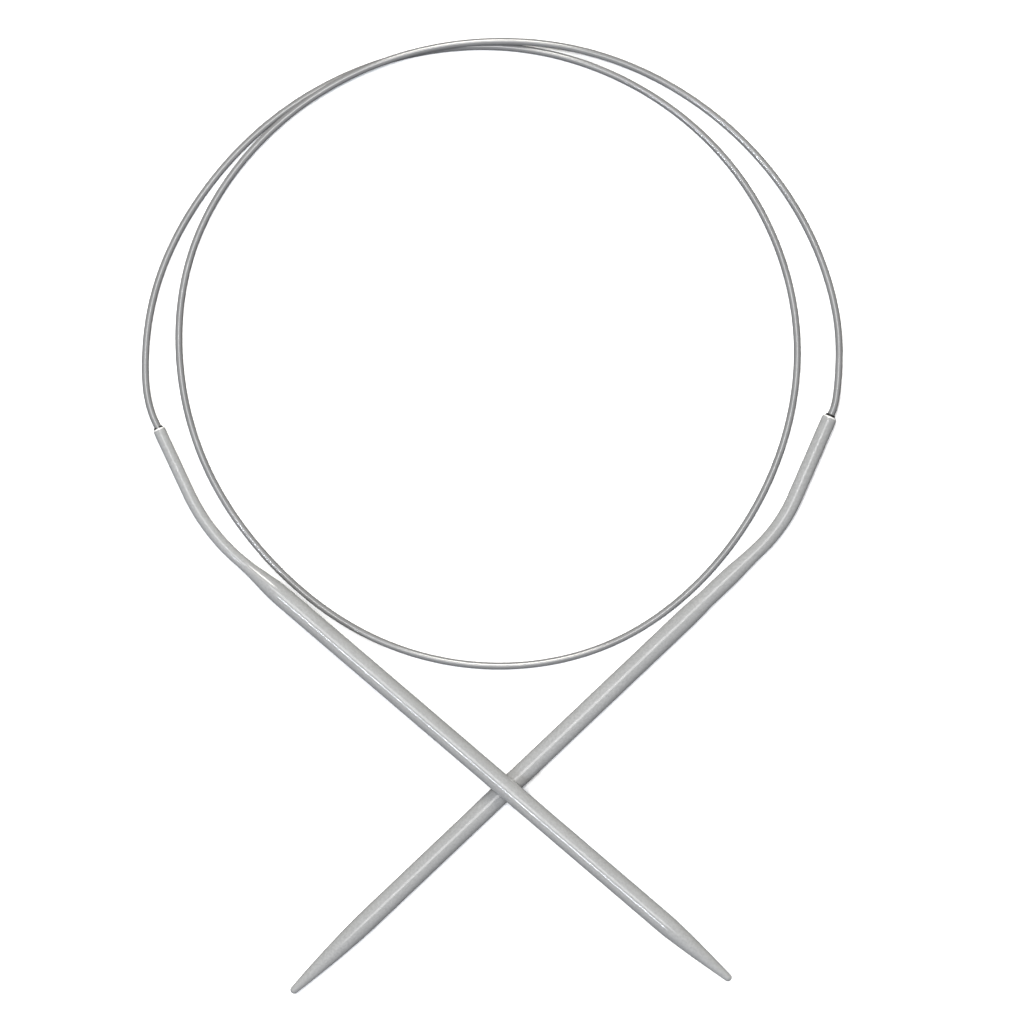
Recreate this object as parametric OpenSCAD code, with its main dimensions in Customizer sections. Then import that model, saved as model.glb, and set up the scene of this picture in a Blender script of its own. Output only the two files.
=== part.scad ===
// Circular knitting needle, 80 cm from tip to tip, 3.5 mm.
// Two coated metal needles with bent necks are joined by one nylon cable, glued into a blind
// socket in each neck. It lies loose on a table: the cable makes a turn and a half and crosses
// over itself once, and the left needle rests on the right one.
// +Z is up, z = 0 is the table. The origin is on the table, in the middle of the needles.

/* [Needles] */

// Diameter of each needle's shank, which is its knitting size
shank_d = 3.5; // [3:0.1:4]
// Length of each needle's straight shank, from the bend to the tip
shank_len = 109.5; // [95:0.5:120]
// Diameter of the rounded end of each point
tip_d = 1.3; // [0.8:0.1:1.8]
// Length of the left needle's point
left_point_len = 14; // [8:0.5:25]
// Length of the right needle's point, which is slimmer
right_point_len = 17.5; // [8:0.5:25]

/* [Necks] */

// Diameter of the left needle's neck
left_neck_d = 2.1; // [1.9:0.05:2.8]
// Diameter of the right needle's neck
right_neck_d = 2.55; // [1.9:0.05:2.8]
// Straight length of the left neck, from the mouth to the bend
left_neck_len = 12; // [9:0.5:16]
// Straight length of the right neck, from the mouth to the bend
right_neck_len = 15; // [9:0.5:16]
// Angle by which the left neck is bent against its shank
left_bend = 24.5; // [10:0.5:35]
// Angle by which the right neck is bent against its shank
right_bend = 23; // [10:0.5:35]
// Radius of the left neck's bend, on its middle line
left_bend_r = 34; // [15:1:50]
// Radius of the right neck's bend, on its middle line
right_bend_r = 27; // [15:1:50]
// Length over which the left neck widens into the shank
left_flare_len = 9.5; // [4:0.5:16]
// Length over which the right neck widens to its shoulder
right_flare_len = 7; // [4:0.5:12]
// Diameter of the right neck's shoulder, just before the shank
right_shoulder_d = 3.1; // [2.9:0.05:3.2]
// Length of the right neck's shoulder
right_shoulder_len = 5.5; // [0:0.5:8]

/* [Cable] */

// Diameter of the nylon cable
cable_d = 1.2; // [1:0.05:1.4]
// Depth of the blind socket in each neck
socket_depth = 8; // [5:0.5:9]
// Diameter of the socket
socket_d = 1.4; // [1.3:0.05:1.6]
// Diameter of the bead of dark adhesive at each mouth
bead_d = 1.7; // [1.5:0.05:1.9]

/* [Hidden] */

$fn = 64;
eps = 0.01;

cable_r = cable_d / 2;
mouth_d = 1.9;          // outer diameter of the bare lip at each mouth
lip_len = 0.8;          // the neck's end is rounded down to the lip over this length
bead_len = 0.35;        // the bead stands this far out of the mouth
bend_lap = 0.5;         // the bend runs this far into the straight lengths on either side of it
cut_gap = 0.1;          // between the ball end and the flat end where the cable flexes

// How the needles lie. The mouths are the ends of the necks, on their middle lines.
right_mouth = [57, 48.8, shank_d / 2];
right_yaw = -136.5;     // direction of the shank, in the table's plane
left_yaw = -40.4;
left_tilt = 2.95;       // the left shank climbs over the right one
left_pitch = asin(sin(left_tilt) * cos(left_bend));
left_mouth = [-57.2, 46.7, left_neck_d / 2 * cos(left_pitch) - lip_len * sin(left_pitch) + 0.01];

// The points where the cable flexes, next to the mouths.
flex_out = 3.5;         // from the left mouth to the first flex point
right_flex_out = 2.5;    // from the right mouth to its flex point
function rz(a, v) = [v.x * cos(a) - v.y * sin(a), v.x * sin(a) + v.y * cos(a), v.z];
function ry(a, v) = [v.x * cos(a) + v.z * sin(a), v.y, -v.x * sin(a) + v.z * cos(a)];
function left_at(v) = left_mouth + rz(left_yaw, ry(-left_tilt, rz(-left_bend, v)));
function right_at(v) = right_mouth + rz(right_yaw, rz(right_bend, v));
function unit(v) = v / norm(v);
left_flex = left_at([-flex_out, 0, 0]);
right_flex = right_at([-right_flex_out, 0, 0]);

// The cable's route, from the left needle to the right one. It lies on the table, climbs over
// its own first pass at the top of the loop, and rises at the end to the right needle's mouth.
route_free = [
    [-59.5, 58.5, 0.6], [-58, 69.5, 0.6], [-49.5, 87, 0.6], [-35.5, 101, 0.6],
    [-18, 109.5, 0.6], [3.5, 111.5, 0.6], [20, 107, 0.6], [38.5, 93.5, 0.6],
    [48, 78, 0.6], [51.5, 59.5, 0.6], [45, 34.5, 0.6], [37, 23, 0.6],
    [20.5, 10.5, 0.6], [-3.5, 6.5, 0.6], [-21.5, 11.5, 0.6], [-38.5, 24.5, 0.6],
    [-49, 40, 0.6], [-53.5, 56.5, 0.6], [-51.5, 77, 0.6], [-40, 95.5, 1.3],
    [-20.5, 108.5, 1.9], [-1.5, 112.5, 1.8], [17, 110.5, 1.1], [34, 102.5, 0.6],
    [49.5, 87, 0.6], [57, 71, 0.7], [58.5, 62.5, 1.1], [58.5, 57, 1.5]
];
route = concat(route_free, [right_flex + unit([0.1, 1, -0.05]) * (cable_r + cut_gap)]);
last = len(route) - 1;
lead_end = route[0] - unit(route[1] - route[0]) * (cable_r + cut_gap);

rings_per_step = 3;
ring_count = last * rings_per_step + 1;
ring_sides = 8;

// A smooth curve through the route's points (Catmull-Rom), and its direction.
function route_point(i) = i < 0 ? 2 * route[0] - route[1] : i > last ? 2 * route[last] - route[last - 1] : route[i];
function curve(u) =
    let (i = min(floor(u), last - 1), t = u - i,
         a = route_point(i - 1), b = route_point(i), c = route_point(i + 1), d = route_point(i + 2))
    0.5 * (2 * b + (c - a) * t + (2 * a - 5 * b + 4 * c - d) * t * t + (3 * b - a - 3 * c + d) * t * t * t);
function heading(u) = unit(curve(min(u + 0.02, last)) - curve(max(u - 0.02, 0)));
function ring(u) =
    let (p = curve(u), t = heading(u), side = unit(cross([0, 0, 1], t)), up = cross(t, side))
    [for (k = [0 : ring_sides - 1]) let (a = (k + 0.5) * 360 / ring_sides) p + cable_r * (cos(a) * side + sin(a) * up)];

function smooth(t) = t * t * (3 - 2 * t);

// Half outlines of a neck that widens: radius and distance from the bend. The first is a smooth
// flare, the second a shoulder's step, which starts abruptly.
function flare(d0, d1, from, len) = [for (i = [0 : 8]) let (t = i / 8) [d0 / 2 + (d1 - d0) / 2 * smooth(t), from + len * t]];
function step(d0, d1, from, len) = [for (i = [1 : 8]) let (t = i * i / 64) [d0 / 2 + (d1 - d0) / 2 * sqrt(t), from + len * t]];

left_flare = flare(left_neck_d, shank_d, 0.2, left_flare_len);
right_flare = concat(flare(right_neck_d, right_shoulder_d, 0.5, right_flare_len),
                     [[right_shoulder_d / 2, 0.5 + right_flare_len + right_shoulder_len + eps]],
                     step(right_shoulder_d, shank_d, 0.5 + right_flare_len + right_shoulder_len, 4.5));

// Half outline of a shank, from the bend. A higher curve makes the point rounder.
function shank_outline(neck_d, widening, point_len, point_curve) =
    let (r0 = neck_d / 2, r1 = shank_d / 2, rt = tip_d / 2, zp = shank_len - rt - point_len)
    concat(
        [[0, 0], [r0, 0]],
        widening,
        [for (i = [0 : 11]) let (t = i / 12) [rt + (r1 - rt) * (1 - pow(t, point_curve)), zp + point_len * t]],
        [for (i = [0 : 5]) let (a = 90 * i / 6) [rt * cos(a), shank_len - rt + rt * sin(a)]],
        [[0, shank_len]]
    );

// Half outline of a straight neck, with its end rounded down to the lip.
function neck_outline(neck_d, neck_len) =
    concat(
        [[0, 0]],
        [for (i = [0 : 4]) let (a = 90 * i / 4) [mouth_d / 2 + (neck_d - mouth_d) / 2 * sin(a), lip_len * (1 - cos(a))]],
        [[neck_d / 2, neck_len], [0, neck_len]]
    );

// One needle with its mouth at the origin and its neck along +X. The shank turns to the side
// of +Y (turn = 1) or -Y (turn = -1).
module needle(neck_d, neck_len, bend, bend_r, turn, widening, point_len, point_curve) {
    difference() {
        union() {
            rotate([0, 90, 0]) rotate_extrude() polygon(neck_outline(neck_d, neck_len));
            translate([neck_len, turn * bend_r, 0])
                rotate([0, 0, (turn > 0 ? -90 : 90 - bend) - bend_lap / bend_r * 180 / PI])
                    rotate_extrude(angle = bend + 2 * bend_lap / bend_r * 180 / PI)
                        translate([bend_r, 0]) circle(d = neck_d - 2 * eps);
            translate([neck_len + bend_r * sin(bend), turn * bend_r * (1 - cos(bend)), 0])
                rotate([0, 0, turn * bend]) rotate([0, 90, 0])
                    rotate_extrude() polygon(shank_outline(neck_d, widening, point_len, point_curve));
        }
        translate([-1, 0, 0]) rotate([0, 90, 0]) cylinder(d = socket_d, h = socket_depth + 1);
    }
}

// The adhesive: a thin sleeve in the socket and a bead around the cable at the mouth.
module adhesive() {
    rotate([0, 90, 0]) rotate_extrude()
        polygon([[cable_r, -bead_len], [bead_d / 2 - 0.12, -bead_len], [bead_d / 2, -bead_len / 2],
                 [bead_d / 2, 0], [socket_d / 2, 0], [socket_d / 2, socket_depth], [cable_r, socket_depth]]);
}

// An end of the cable in its socket, up to the point where it flexes.
module cable_end(out) {
    translate([-out, 0, 0]) rotate([0, 90, 0]) cylinder(d = cable_d, h = out + socket_depth);
    translate([-out, 0, 0]) sphere(d = cable_d);
}

module on_left() {
    translate(left_mouth) rotate([0, 0, left_yaw]) rotate([0, -left_tilt, 0]) rotate([0, 0, -left_bend]) children();
}

module on_right() {
    translate(right_mouth) rotate([0, 0, right_yaw]) rotate([0, 0, right_bend]) children();
}

module left_needle() {
    color([0.75, 0.76, 0.75]) on_left()
        needle(left_neck_d, left_neck_len, left_bend, left_bend_r, 1, left_flare, left_point_len, 1.35);
}

module right_needle() {
    color([0.75, 0.76, 0.75]) on_right()
        needle(right_neck_d, right_neck_len, right_bend, right_bend_r, -1, right_flare, right_point_len, 1.6);
}

module left_adhesive() {
    color([0.12, 0.12, 0.12]) on_left() adhesive();
}

module right_adhesive() {
    color([0.12, 0.12, 0.12]) on_right() adhesive();
}

module left_cable_end() {
    color([0.66, 0.66, 0.66]) on_left() cable_end(flex_out);
}

module right_cable_end() {
    color([0.66, 0.66, 0.66]) on_right() cable_end(right_flex_out);
}

// The short length of cable between the two flex points next to the left needle.
module left_cable_lead() {
    run = lead_end - left_flex;
    from = cable_r + cut_gap;
    color([0.66, 0.66, 0.66])
        translate(left_flex)
            rotate([0, acos(run.z / norm(run)), atan2(run.y, run.x)]) {
                translate([0, 0, from]) cylinder(d = cable_d, h = norm(run) - from);
                translate([0, 0, norm(run)]) sphere(d = cable_d);
            }
}

// The free loop of the cable.
module cable_loop() {
    n = ring_sides;
    color([0.66, 0.66, 0.66])
        polyhedron(
            points = [for (j = [0 : ring_count - 1]) each ring(j / rings_per_step)],
            faces = concat(
                [[for (k = [0 : n - 1]) k]],
                [for (j = [0 : ring_count - 2], k = [0 : n - 1])
                    let (a = j * n + k, b = j * n + (k + 1) % n)
                    each [[a, a + n, b + n], [a, b + n, b]]],
                [[for (k = [n - 1 : -1 : 0]) (ring_count - 1) * n + k]]
            )
        );
}

left_needle();
right_needle();
left_adhesive();
right_adhesive();
cable_loop();
left_cable_lead();
left_cable_end();
right_cable_end();
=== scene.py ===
import math
import bpy, bmesh
import numpy as np
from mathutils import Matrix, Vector


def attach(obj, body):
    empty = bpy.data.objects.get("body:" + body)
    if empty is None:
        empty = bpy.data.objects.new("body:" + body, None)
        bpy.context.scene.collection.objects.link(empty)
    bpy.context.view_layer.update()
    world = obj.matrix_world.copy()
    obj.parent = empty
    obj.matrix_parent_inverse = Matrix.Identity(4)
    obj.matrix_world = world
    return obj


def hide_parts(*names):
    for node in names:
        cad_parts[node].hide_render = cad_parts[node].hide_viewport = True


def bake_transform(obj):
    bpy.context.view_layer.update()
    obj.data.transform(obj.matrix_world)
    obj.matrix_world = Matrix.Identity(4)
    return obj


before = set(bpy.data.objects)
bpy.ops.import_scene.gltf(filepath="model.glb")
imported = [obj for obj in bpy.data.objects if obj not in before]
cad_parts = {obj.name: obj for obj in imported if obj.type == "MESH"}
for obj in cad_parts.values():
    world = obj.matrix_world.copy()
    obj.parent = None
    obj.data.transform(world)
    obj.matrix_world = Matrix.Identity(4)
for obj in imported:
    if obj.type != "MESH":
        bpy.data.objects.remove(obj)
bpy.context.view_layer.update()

MM = 0.001
scene = bpy.context.scene

# ---------------------------------------------------------------- camera
# Straight above the middle of the picture, with a long lens.
VIEW_W = 0.17444          # width of the table that the picture shows
CAM_H = 0.9
CX, CY = 0.00293, 0.03254
cam_data = bpy.data.cameras.new("camera")
cam_data.sensor_width = 36.0
cam_data.lens = 36.0 * CAM_H / VIEW_W
cam_data.clip_start, cam_data.clip_end = 0.01, 10.0
cam = bpy.data.objects.new("camera", cam_data)
cam.location = (CX, CY, CAM_H)
scene.collection.objects.link(cam)
scene.camera = cam

# ---------------------------------------------------------------- placement, as in part.scad
SHANK_R, SHANK_LEN, TIP_R = 1.75, 109.5, 0.65
CABLE_R = 0.6


def rz(a, v):
    a = math.radians(a)
    return np.array([v[0] * math.cos(a) - v[1] * math.sin(a), v[0] * math.sin(a) + v[1] * math.cos(a), v[2]])


def ry(a, v):
    a = math.radians(a)
    return np.array([v[0] * math.cos(a) + v[2] * math.sin(a), v[1], -v[0] * math.sin(a) + v[2] * math.cos(a)])


LEFT = dict(neck_r=1.05, neck_len=12.0, bend=24.5, bend_r=34.0, turn=1, flare_from=0.2, flare_len=9.5,
            point_len=14.0, curve=1.35)
RIGHT = dict(neck_r=1.275, neck_len=15.0, bend=23.0, bend_r=27.0, turn=-1, flare_from=0.5, flare_len=7.0, shoulder_r=1.55, shoulder_to=13.0,
             point_len=17.5, curve=1.6)
TILT, LYAW, RYAW = 2.95, -40.4, -136.5
PITCH = math.degrees(math.asin(math.sin(math.radians(TILT)) * math.cos(math.radians(LEFT["bend"]))))
LM = np.array([-57.2, 46.7, 1.05 * math.cos(math.radians(PITCH)) - 0.8 * math.sin(math.radians(PITCH)) + 0.01])
RM = np.array([57.0, 48.8, 1.75])


def left_dir(v):
    return rz(LYAW, ry(-TILT, rz(-LEFT["bend"], np.array(v, float))))


def right_dir(v):
    return rz(RYAW, rz(RIGHT["bend"], np.array(v, float)))


def left_at(v):
    return LM + left_dir(v)


def right_at(v):
    return RM + right_dir(v)


def unit(v):
    v = np.array(v, float)
    return v / np.linalg.norm(v)


# ---------------------------------------------------------------- mesh tools
def spline(points, step):
    """Points `step` apart on the natural cubic curve through `points`, chord-length spaced."""
    p = np.array(points, float)
    h = np.linalg.norm(np.diff(p, axis=0), axis=1)
    n = len(p)
    A = np.zeros((n, n)); B = np.zeros((n, 3))
    A[0, 0] = A[-1, -1] = 1
    for i in range(1, n - 1):
        A[i, i - 1], A[i, i], A[i, i + 1] = h[i - 1], 2 * (h[i - 1] + h[i]), h[i]
        B[i] = 6 * ((p[i + 1] - p[i]) / h[i] - (p[i] - p[i - 1]) / h[i - 1])
    M = np.linalg.solve(A, B)
    out = []
    for i in range(n - 1):
        m = max(2, int(h[i] / 0.05))
        for t in np.arange(m) / m * h[i]:
            a, b = h[i] - t, t
            out.append(M[i] * a**3 / (6 * h[i]) + M[i + 1] * b**3 / (6 * h[i])
                       + (p[i] / h[i] - M[i] * h[i] / 6) * a + (p[i + 1] / h[i] - M[i + 1] * h[i] / 6) * b)
    out.append(p[-1])
    out = np.array(out)
    s = np.concatenate([[0], np.cumsum(np.linalg.norm(np.diff(out, axis=0), axis=1))])
    k = max(2, int(round(s[-1] / step)))
    u = np.linspace(0, s[-1], k + 1)
    return np.stack([np.interp(u, s, out[:, j]) for j in range(3)], axis=1), u


def frames(path):
    t = np.gradient(path, axis=0)
    t /= np.linalg.norm(t, axis=1)[:, None]
    side = np.cross(np.array([0, 0, 1.0]), t)
    side /= np.linalg.norm(side, axis=1)[:, None]
    return t, side, np.cross(t, side)


def tube(name, path, radii, sides, caps=(True, True), sharp=()):
    """A closed tube: rings round path (mm) with the given radii. `sharp` lists rings whose edge stays crisp."""
    path = np.array(path, float)
    t, side, up = frames(path)
    a = np.arange(sides) * 2 * math.pi / sides
    verts = (path[:, None, :] + np.array(radii)[:, None, None]
             * (np.cos(a)[None, :, None] * side[:, None, :] + np.sin(a)[None, :, None] * up[:, None, :]))
    n = len(path)
    me = bpy.data.meshes.new(name)
    faces = []
    for j in range(n - 1):
        for k in range(sides):
            k2 = (k + 1) % sides
            faces.append((j * sides + k, j * sides + k2, (j + 1) * sides + k2, (j + 1) * sides + k))
    if caps[0]:
        faces.append(tuple(range(sides - 1, -1, -1)))
    if caps[1]:
        faces.append(tuple((n - 1) * sides + k for k in range(sides)))
    me.from_pydata([tuple(v) for v in (verts.reshape(-1, 3) * MM)], [], faces)
    me.update()
    bm = bmesh.new(); bm.from_mesh(me)
    bmesh.ops.recalc_face_normals(bm, faces=bm.faces)
    bm.verts.ensure_lookup_table()
    crisp = set(sharp) | ({0} if caps[0] else set()) | ({n - 1} if caps[1] else set())
    for e in bm.edges:
        j0, j1 = e.verts[0].index // sides, e.verts[1].index // sides
        if j0 == j1 and j0 in crisp:
            e.smooth = False
    for f in bm.faces:
        f.smooth = True
    # one map: length along the piece in millimetres, and turns round it
    uv = bm.loops.layers.uv.new("along")
    s = np.concatenate([[0], np.cumsum(np.linalg.norm(np.diff(path, axis=0), axis=1))])
    for f in bm.faces:
        ks = [l.vert.index % sides for l in f.loops]
        wrap = max(ks) - min(ks) > sides / 2
        for l in f.loops:
            k = l.vert.index % sides
            l[uv].uv = (s[l.vert.index // sides], (k + (sides if wrap and k < sides / 2 else 0)) / sides)
    bm.to_mesh(me); bm.free()
    ob = bpy.data.objects.new(name, me)
    scene.collection.objects.link(ob)
    return ob


def smooth(t):
    t = min(max(t, 0.0), 1.0)
    return t * t * (3 - 2 * t)


# ---------------------------------------------------------------- cable
# The route's points, as in part.scad, in millimetres here and in metres in the meshes.
ROUTE = [
    (-59.5, 58.5, 0.6), (-58, 69.5, 0.6), (-49.5, 87, 0.6), (-35.5, 101, 0.6),
    (-18, 109.5, 0.6), (3.5, 111.5, 0.6), (20, 107, 0.6), (38.5, 93.5, 0.6),
    (48, 78, 0.6), (51.5, 59.5, 0.6), (45, 34.5, 0.6), (37, 23, 0.6),
    (20.5, 10.5, 0.6), (-3.5, 6.5, 0.6), (-21.5, 11.5, 0.6), (-38.5, 24.5, 0.6),
    (-49, 40, 0.6), (-53.5, 56.5, 0.6), (-51.5, 77, 0.6), (-40, 95.5, 1.3),
    (-20.5, 108.5, 1.9), (-1.5, 112.5, 1.8), (17, 110.5, 1.1), (34, 102.5, 0.6),
    (49.5, 87, 0.6), (57, 71, 0.7), (58.5, 62.5, 1.1), (58.5, 57, 1.5)]
ends_left = [left_at([1.5, 0, 0]), left_at([0, 0, 0]), left_at([-2.0, 0, 0])]
ends_right = [np.array([58.05, 52.1, 1.68]), right_at([-1.6, 0, 0]), right_at([0, 0, 0]), right_at([1.5, 0, 0])]
line, along = spline(ends_left + [np.array(p) for p in ROUTE] + ends_right, 0.4)
line[:, 2] = np.maximum(line[:, 2], CABLE_R)
total = along[-1]
LEFT_SEAMS = (1.5 + 7.15, 1.5 + 16.0)      # along the line, from its start inside the left mouth
RIGHT_SEAM = total - 1.5 - 8.6


def stretch(a, b):
    return line[(along >= a - 0.21) & (along <= b + 0.21)]


def index_at(s):
    return int(round(s / total * (len(line) - 1)))


i1, i2, i3 = index_at(LEFT_SEAMS[0]), index_at(LEFT_SEAMS[1]), index_at(RIGHT_SEAM)
SIDES = 24
cable_parts = {}
for nm, a, b in (("cable_left_root", 0, i1), ("cable_left_bend", i1, i2), ("cable_main", i2, i3),
                 ("cable_right_root", i3, len(line) - 1)):
    seg = line[a:b + 1]
    cable_parts[nm] = (tube(nm, seg, [CABLE_R] * len(seg), SIDES), seg)


# ---------------------------------------------------------------- needles
def needle_path(n):
    """Axis points in the needle's own frame, and the distance along the axis, from the mouth to the tip."""
    pts, s = [], []
    L0, arc = n["neck_len"], math.radians(n["bend"]) * n["bend_r"]
    total_len = L0 + arc + SHANK_LEN
    marks = list(np.arange(0, 1.6, 0.08)) + list(np.arange(1.6, total_len - 2.2, 0.5)) + list(np.arange(total_len - 2.2, total_len - 0.02, 0.06)) + [total_len]
    if "shoulder_to" in n:
        k = L0 + arc + n["shoulder_to"]
        marks = sorted(set(marks) | set(np.round(k + np.array([-0.3, 0, 0.25, 0.6, 0.9]), 3)))
    for x in marks:
        if x <= L0:
            p = (x, 0, 0)
        elif x <= L0 + arc:
            a = (x - L0) / n["bend_r"]
            p = (L0 + n["bend_r"] * math.sin(a), n["turn"] * n["bend_r"] * (1 - math.cos(a)), 0)
        else:
            a = math.radians(n["bend"]); d = x - L0 - arc
            p = (L0 + n["bend_r"] * math.sin(a) + d * math.cos(a),
                 n["turn"] * (n["bend_r"] * (1 - math.cos(a)) + d * math.sin(a)), 0)
        pts.append(p); s.append(x)
    return np.array(pts, float), np.array(s), L0 + arc, total_len


def needle_radius(n, x, start, end):
    """Radius at a distance along the axis. start is where the shank begins."""
    mouth_r, lip = 0.95, 0.8
    if x < lip:
        c = 1 - x / lip
        return mouth_r + (n["neck_r"] - mouth_r) * math.sqrt(max(0.0, 1 - c * c))
    d = x - start
    tip_from = SHANK_LEN - TIP_R
    if d > tip_from:
        e = min(d - tip_from, TIP_R)
        return max(TIP_R * math.sqrt(max(0.0, 1 - (e / TIP_R) ** 2)), 0.004)
    full = n.get("shoulder_r", SHANK_R)
    r = n["neck_r"] + (full - n["neck_r"]) * smooth((d - n["flare_from"]) / n["flare_len"])
    if "shoulder_to" in n and d > n["shoulder_to"]:      # the shoulder's step up to the shank
        r = full + (SHANK_R - full) * math.sqrt(min((d - n["shoulder_to"]) / 4.5, 1.0))
    u = (d - (tip_from - n["point_len"])) / n["point_len"]
    if u > 0:
        r = TIP_R + (SHANK_R - TIP_R) * (1 - u ** n["curve"])
    return r


def needle(name, n, at):
    pts, s, start, end = needle_path(n)
    world = np.array([at(p) for p in pts])
    rad = [needle_radius(n, x, start, end) for x in s]
    # the mouth: the lip's edge, then down the socket wall to its floor
    inner = [at((x, 0, 0)) for x in (7.95, 0.12, 0.0)]
    path = np.vstack([inner, world[:1], world[1:]])
    radii = [0.70, 0.70, 0.76, 0.90] + rad[1:]
    # the rings at the mouth share one plane, so the frames come from the neck's own direction
    return sweep(name, path, radii, at, n)


def sweep(name, path, radii, at, n):
    t = np.gradient(path, axis=0)
    neck = unit(at((1, 0, 0)) - at((0, 0, 0)))
    t[:6] = neck
    t /= np.linalg.norm(t, axis=1)[:, None]
    sides = 64
    side = np.cross(np.array([0, 0, 1.0]), t); side /= np.linalg.norm(side, axis=1)[:, None]
    up = np.cross(t, side)
    a = np.arange(sides) * 2 * math.pi / sides
    v = (path[:, None, :] + np.array(radii)[:, None, None]
         * (np.cos(a)[None, :, None] * side[:, None, :] + np.sin(a)[None, :, None] * up[:, None, :]))
    m = len(path)
    faces = [(j * sides + k, j * sides + (k + 1) % sides, (j + 1) * sides + (k + 1) % sides, (j + 1) * sides + k)
             for j in range(m - 1) for k in range(sides)]
    faces.append(tuple(range(sides - 1, -1, -1)))
    faces.append(tuple((m - 1) * sides + k for k in range(sides)))
    me = bpy.data.meshes.new(name)
    me.from_pydata([tuple(q) for q in (v.reshape(-1, 3) * MM)], [], faces)
    me.update()
    s = np.concatenate([[0], np.cumsum(np.linalg.norm(np.diff(path[3:], axis=0), axis=1))])
    s = np.concatenate([[-2, -1, -0.2], s])
    bm = bmesh.new(); bm.from_mesh(me)
    bmesh.ops.recalc_face_normals(bm, faces=bm.faces)
    uv = bm.loops.layers.uv.new("along")
    for f in bm.faces:
        f.smooth = True
        ks = [l.vert.index % sides for l in f.loops]
        wrap = max(ks) - min(ks) > sides / 2
        for l in f.loops:
            k = l.vert.index % sides
            l[uv].uv = (s[l.vert.index // sides], (k + (sides if wrap and k < sides / 2 else 0)) / sides)
    for e in bm.edges:
        j0, j1 = e.verts[0].index // sides, e.verts[1].index // sides
        if j0 == j1 and j0 in (0, 1):
            e.smooth = False
    bm.to_mesh(me); bm.free()
    ob = bpy.data.objects.new(name, me)
    scene.collection.objects.link(ob)
    return ob


needle_l = needle("needle_left", LEFT, left_at)
needle_r = needle("needle_right", RIGHT, right_at)


# ---------------------------------------------------------------- adhesive bead at each mouth, near-black as painted shade
def bead(name, at, seed, parted=0.0):
    """A small irregular ring of adhesive between the cable and the lip; its near-black colour is painted shade for
    the crevice there. `parted` opens it on top, where the cable lies over the mouth.
    """
    prof = [(0.60, 1.2), (0.69, 1.2), (0.69, 0.02), (0.80, -0.02), (0.85, -0.08), (0.84, -0.19), (0.78, -0.29), (0.70, -0.34), (0.60, -0.35)]
    sides = 48
    o, ex = at((0, 0, 0)), at((1, 0, 0)) - at((0, 0, 0))
    side = unit(np.cross([0, 0, 1.0], ex)); up = np.cross(ex, side)
    vs, faces = [], []
    for k in range(sides):
        a = 2 * math.pi * k / sides
        wob = 1 - 0.035 * (1 + math.sin(2 * a + seed) * 0.6 + math.sin(5 * a + 2 * seed) * 0.4)
        top = parted * smooth((math.sin(a) - 0.80) / 0.12)
        for (r, x) in prof:
            rr = r if r < 0.7 else 0.6 + (r - 0.6) * wob
            if x < 0.1:
                rr = rr * (1 - top) + 0.57 * top
            vs.append(tuple((o + ex * x + (math.cos(a) * side + math.sin(a) * up) * rr) * MM))
    m = len(prof)
    for k in range(sides):
        k2 = (k + 1) % sides
        for j in range(m):
            j2 = (j + 1) % m
            faces.append((k * m + j, k * m + j2, k2 * m + j2, k2 * m + j))
    me = bpy.data.meshes.new(name); me.from_pydata(vs, [], faces); me.update()
    bm = bmesh.new(); bm.from_mesh(me); bmesh.ops.recalc_face_normals(bm, faces=bm.faces)
    for f in bm.faces: f.smooth = True
    bm.to_mesh(me); bm.free()
    ob = bpy.data.objects.new(name, me); scene.collection.objects.link(ob)
    return ob


bead_l = bead("adhesive_shade_left", left_at, 0.7, parted=1.0)
bead_r = bead("adhesive_shade_right", right_at, 2.1)


# ---------------------------------------------------------------- materials
def new_material(name):
    m = bpy.data.materials.new(name); m.use_nodes = True
    nt = m.node_tree; nt.nodes.clear()
    out = nt.nodes.new("ShaderNodeOutputMaterial")
    bsdf = nt.nodes.new("ShaderNodeBsdfPrincipled")
    nt.links.new(bsdf.outputs[0], out.inputs[0])
    return m, nt, bsdf


def node(nt, kind, **kw):
    n = nt.nodes.new(kind)
    for k, v in kw.items():
        setattr(n, k, v)
    return n


def noise(nt, vec, scale, detail=3, rough=0.5):
    n = node(nt, "ShaderNodeTexNoise"); n.inputs["Scale"].default_value = scale
    n.inputs["Detail"].default_value = detail; n.inputs["Roughness"].default_value = rough
    nt.links.new(vec, n.inputs["Vector"])
    return n.outputs["Fac"]


def ramp(nt, fac, stops):
    r = node(nt, "ShaderNodeValToRGB")
    e = r.color_ramp.elements
    while len(e) < len(stops):
        e.new(0.5)
    for el, (p, c) in zip(e, stops):
        el.position = p; el.color = (*c, 1)
    nt.links.new(fac, r.inputs[0])
    return r.outputs["Color"]


def maprange(nt, v, a, b, c, d):
    n = node(nt, "ShaderNodeMapRange"); nt.links.new(v, n.inputs["Value"])
    for k, x in zip(("From Min", "From Max", "To Min", "To Max"), (a, b, c, d)):
        n.inputs[k].default_value = x
    return n.outputs["Result"]


def mix(nt, fac, a, b):
    n = node(nt, "ShaderNodeMix", data_type="RGBA")
    nt.links.new(fac, n.inputs["Factor"])
    for sock, val in ((n.inputs[6], a), (n.inputs[7], b)):
        if isinstance(val, tuple):
            sock.default_value = (*val, 1)
        else:
            nt.links.new(val, sock)
    return n.outputs[2]


def bump(nt, height, strength, dist):
    n = node(nt, "ShaderNodeBump"); n.inputs["Strength"].default_value = strength
    n.inputs["Distance"].default_value = dist
    nt.links.new(height, n.inputs["Height"])
    return n.outputs["Normal"]


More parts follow.
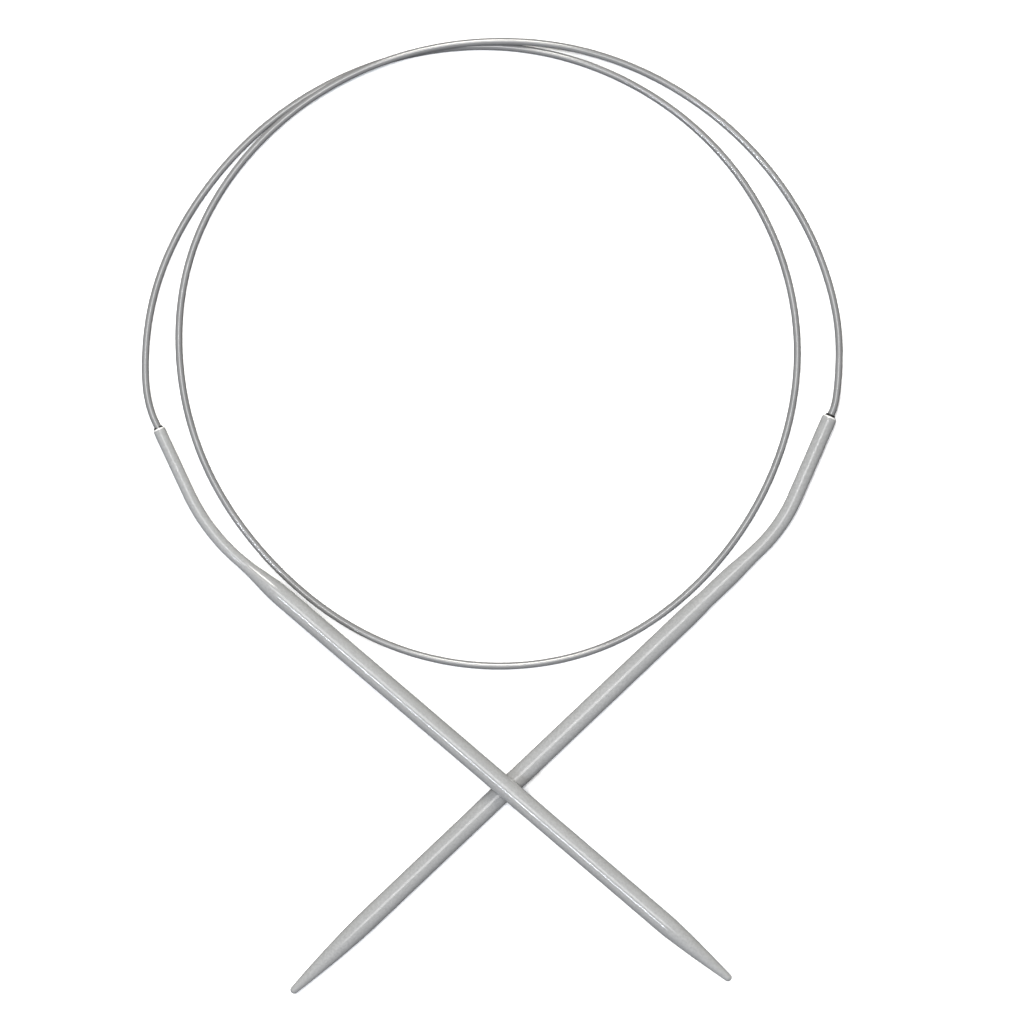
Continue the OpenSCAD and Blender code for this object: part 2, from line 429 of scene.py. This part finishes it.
def coating():
    m, nt, b = new_material("satin_coating")
    co = node(nt, "ShaderNodeTexCoord").outputs["Object"]
    uvn = node(nt, "ShaderNodeUVMap"); uvn.uv_map = "along"
    sep = node(nt, "ShaderNodeSeparateXYZ"); nt.links.new(uvn.outputs[0], sep.inputs[0])
    x = sep.outputs["X"]
    fine = noise(nt, co, 2600, 4, 0.6)
    broad = noise(nt, co, 90, 3, 0.5)
    base = mix(nt, maprange(nt, broad, 0.35, 0.65, 0, 1), (0.322, 0.324, 0.324), (0.352, 0.354, 0.355))
    base = mix(nt, maprange(nt, fine, 0.3, 0.7, 0, 0.8), base, (0.243, 0.245, 0.244))
    # a near-white, slightly metallic band at the lip: a painted highlight for the bright rim of the mouth
    lip = maprange(nt, x, 0.2, 0.3, 1, 0)
    b.inputs["Roughness"].default_value = 0.3
    nt.links.new(mix(nt, lip, base, (0.86, 0.86, 0.85)), b.inputs["Base Color"])
    nt.links.new(maprange(nt, lip, 0, 1, 0.0, 0.25), b.inputs["Metallic"])
    rough = maprange(nt, fine, 0.2, 0.8, 0.44, 0.54)
    nt.links.new(rough, b.inputs["Roughness"])
    b.inputs["Diffuse Roughness"].default_value = 0.3
    b.inputs["Specular IOR Level"].default_value = 0.3
    b.inputs["Coat Weight"].default_value = 1.0
    b.inputs["Coat IOR"].default_value = 1.55
    b.inputs["Coat Roughness"].default_value = 0.1
    nt.links.new(bump(nt, fine, 0.3, 0.00004), b.inputs["Normal"])
    return m


def nylon():
    m, nt, b = new_material("nylon_cable")
    co = node(nt, "ShaderNodeTexCoord").outputs["Object"]
    broad = noise(nt, co, 140, 3, 0.5)
    fine = noise(nt, co, 3000, 3, 0.6)
    base = mix(nt, maprange(nt, broad, 0.3, 0.7, 0, 1), (0.185, 0.186, 0.188), (0.212, 0.213, 0.215))
    nt.links.new(base, b.inputs["Base Color"])
    nt.links.new(maprange(nt, fine, 0.2, 0.8, 0.42, 0.52), b.inputs["Roughness"])
    b.inputs["Specular IOR Level"].default_value = 0.3
    b.inputs["Coat Weight"].default_value = 1.0
    b.inputs["Coat IOR"].default_value = 1.9
    b.inputs["Coat Roughness"].default_value = 0.12
    nt.links.new(bump(nt, fine, 0.10, 0.00003), b.inputs["Normal"])
    return m


def adhesive_shade_material():
    m, nt, b = new_material("adhesive_painted_shade")
    co = node(nt, "ShaderNodeTexCoord").outputs["Object"]
    f = noise(nt, co, 2200, 3, 0.6)
    # near-black base: painted shade for the crevice between the cable and the lip, on a real adhesive ring
    nt.links.new(mix(nt, f, (0.004, 0.004, 0.004), (0.012, 0.012, 0.012)), b.inputs["Base Color"])
    nt.links.new(maprange(nt, f, 0.2, 0.8, 0.35, 0.6), b.inputs["Roughness"])
    nt.links.new(bump(nt, f, 0.3, 0.00004), b.inputs["Normal"])
    return m


m_coat, m_nylon, m_adhesive_shade = coating(), nylon(), adhesive_shade_material()
for ob, m, s in ((needle_l, m_coat, "needle_coating"), (needle_r, m_coat, "needle_coating"),
                 (bead_l, m_adhesive_shade, "adhesive"), (bead_r, m_adhesive_shade, "adhesive")):
    ob.data.materials.append(m)
for ob, seg in cable_parts.values():
    ob.data.materials.append(m_nylon)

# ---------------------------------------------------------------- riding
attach(needle_l, "left_tip"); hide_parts("left_needle")
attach(needle_r, "right_tip"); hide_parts("right_needle")
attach(bead_l, "left_tip"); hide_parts("left_adhesive")
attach(bead_r, "right_tip"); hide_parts("right_adhesive")
main, seg = cable_parts["cable_main"]
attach(main, "loop"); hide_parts("cable_loop")
root_r = cable_parts["cable_right_root"][0]
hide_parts("right_cable_end")
root_l = cable_parts["cable_left_root"][0]
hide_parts("left_cable_end")
bend_l = cable_parts["cable_left_bend"][0]
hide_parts("left_cable_lead")


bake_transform(root_r)
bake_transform(root_l)
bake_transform(bend_l)

# ---------------------------------------------------------------- floor, light
me = bpy.data.meshes.new("floor")
me.from_pydata([(-1.5, -1.5, 0), (1.5, -1.5, 0), (1.5, 1.5, 0), (-1.5, 1.5, 0)], [], [(0, 1, 2, 3)])
floor = bpy.data.objects.new("floor", me); scene.collection.objects.link(floor)
floor.location.z = -0.00002
m, nt, b = new_material("floor_white")
co = node(nt, "ShaderNodeTexCoord").outputs["Object"]
nt.links.new(mix(nt, noise(nt, co, 30, 2, 0.5), (0.945, 0.945, 0.945), (0.955, 0.955, 0.955)), b.inputs["Base Color"])
b.inputs["Roughness"].default_value = 0.9
b.inputs["Specular IOR Level"].default_value = 0.1
floor.data.materials.append(m)
floor.visible_glossy = False      # the needles are shaded by the studio and not by the white table
floor.visible_diffuse = False


def area(name, az, tilt, dist, size, power, color=(1, 1, 1), width=None):
    """A lamp aimed at the middle. az is the way towards it in the table's plane, tilt is from straight up."""
    l = bpy.data.lights.new(name, "AREA"); l.energy = power; l.color = color
    l.shape = "RECTANGLE" if width else "DISK"
    l.size = size
    if width:
        l.size_y = width
    o = bpy.data.objects.new(name, l); scene.collection.objects.link(o)
    a, t = math.radians(az), math.radians(tilt)
    d = Vector((math.sin(t) * math.cos(a), math.sin(t) * math.sin(a), math.cos(t)))
    o.location = Vector((CX, CY, 0)) + d * dist
    o.rotation_euler = d.to_track_quat("Z", "Y").to_euler()
    return o


area("key", -135, 34, 1.3, 0.35, 3.9, (0.86, 0.91, 1.0), width=0.012)
area("fill", -115, 46, 1.6, 0.8, 4.3, (0.76, 0.85, 1.0)).visible_glossy = False
area("soft", 92, 46, 1.6, 0.8, 20.0, (1.0, 0.97, 0.90))
area("sheen", 133, 6, 1.9, 0.9, 7.5)
area("top", 125, 6, 1.9, 0.6, 28.5).visible_glossy = False     # it only shades: no hard line along the needles
w = bpy.data.worlds.new("world"); scene.world = w; w.use_nodes = True
w.node_tree.nodes["Background"].inputs[0].default_value = (1, 1, 1, 1)
w.node_tree.nodes["Background"].inputs[1].default_value = 0.1
scene.view_settings.view_transform = "Standard"
scene.view_settings.look = "None"
scene.view_settings.exposure = 0.0
